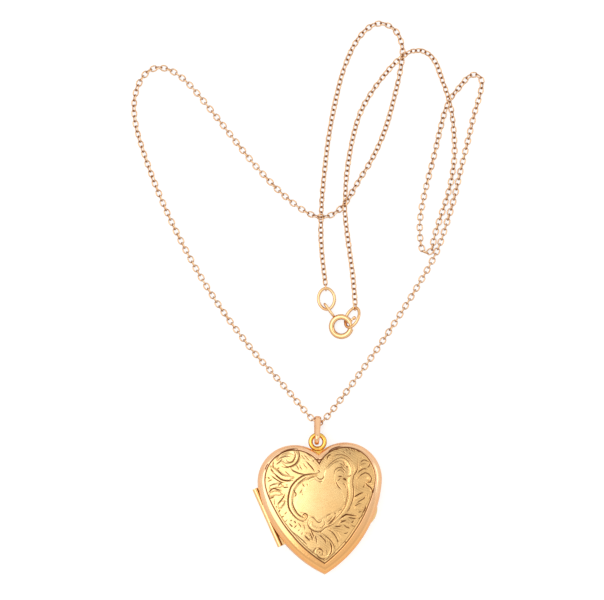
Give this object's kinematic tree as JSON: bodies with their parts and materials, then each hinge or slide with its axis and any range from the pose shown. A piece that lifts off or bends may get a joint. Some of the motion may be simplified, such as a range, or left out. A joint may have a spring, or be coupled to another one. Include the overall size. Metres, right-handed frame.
{
  "type": "heart locket on a chain",
  "caption": "Hinged heart-shaped picture locket with an engraved front, hanging from a bail on a trace chain closed by a bolt ring.",
  "frame": {"origin": "middle of the back cover's flat resting face, on the heart's axis of symmetry", "axes": "+Z out of the front cover, +Y along the heart's axis towards the suspension loop and bail, +X to the right"},
  "size_m": [0.0711, 0.1104, 0.0062],
  "materials": {
    "engraved_gold": "hand-engraved yellow gold with a polished rim",
    "polished_gold": "polished warm gold",
    "gold_wire": "polished gold wire",
    "spring_steel": "bright spring wire",
    "clear_glazing": "clear sheet",
    "photo_card": "plain ivory card"
  },
  "bodies": {
    "chain": {"chain": "gold_wire", "chain_end_link_left": "gold_wire", "chain_end_link_right": "gold_wire"},
    "clasp": {"jump_ring_left": "gold_wire", "jump_ring_right": "gold_wire", "bolt_ring_body": "gold_wire", "bolt_ring_spring": "spring_steel", "bolt_ring_tail_loop": "gold_wire"},
    "clasp_bolt": {"bolt_ring_bolt": "gold_wire"},
    "bail": {"bail_ring": "gold_wire"},
    "locket_back": {"back_cover": "polished_gold", "catch_rim": "polished_gold", "hinge_knuckle_upper": "polished_gold", "hinge_knuckle_lower": "polished_gold", "hinge_pin": "polished_gold", "back_photo_frame": "polished_gold", "back_glazing": "clear_glazing", "back_photo_card": "photo_card", "suspension_loop": "gold_wire", "loop_collar": "polished_gold"},
    "locket_front": {"front_cover": "engraved_gold", "thumb_lip": "polished_gold", "hinge_knuckle_middle": "polished_gold", "front_photo_frame": "polished_gold", "front_glazing": "clear_glazing", "front_photo_card": "photo_card"}
  },
  "joints": [
    {"name": "bail_swing", "type": "hinge", "parent": "chain", "child": "bail", "pos_m": [0.0003, 0.01732, 0.00142], "axis": [-0.9927, 0.1206, 0], "range_deg": [0, 80]},
    {"name": "locket_swing", "type": "hinge", "parent": "bail", "child": "locket_back", "pos_m": [0, 0.01485, 0.0031], "axis": [-1, 0, 0], "range_deg": [0, 75]},
    {"name": "cover_hinge", "type": "hinge", "parent": "locket_back", "child": "locket_front", "pos_m": [-0.01081, -0.0011, 0.0031], "axis": [0.3535, -0.9354, 0], "range_deg": [0, 170]},
    {"name": "clasp_flip", "type": "hinge", "parent": "chain", "child": "clasp", "pos_m": [0.00349, 0.04416, 0.00074], "axis": [-0.7956, 0.6025, -0.0627], "range_deg": [0, 30]},
    {"name": "bolt_draw", "type": "hinge", "parent": "clasp", "child": "clasp_bolt", "pos_m": [0.00613, 0.03635, 0.00093], "axis": [-0.1623, -0.0937, 0.9823], "range_deg": [0, 38], "stiffness_Nm_per_rad": 0.0002, "springref_deg": -17.19}
  ]
}
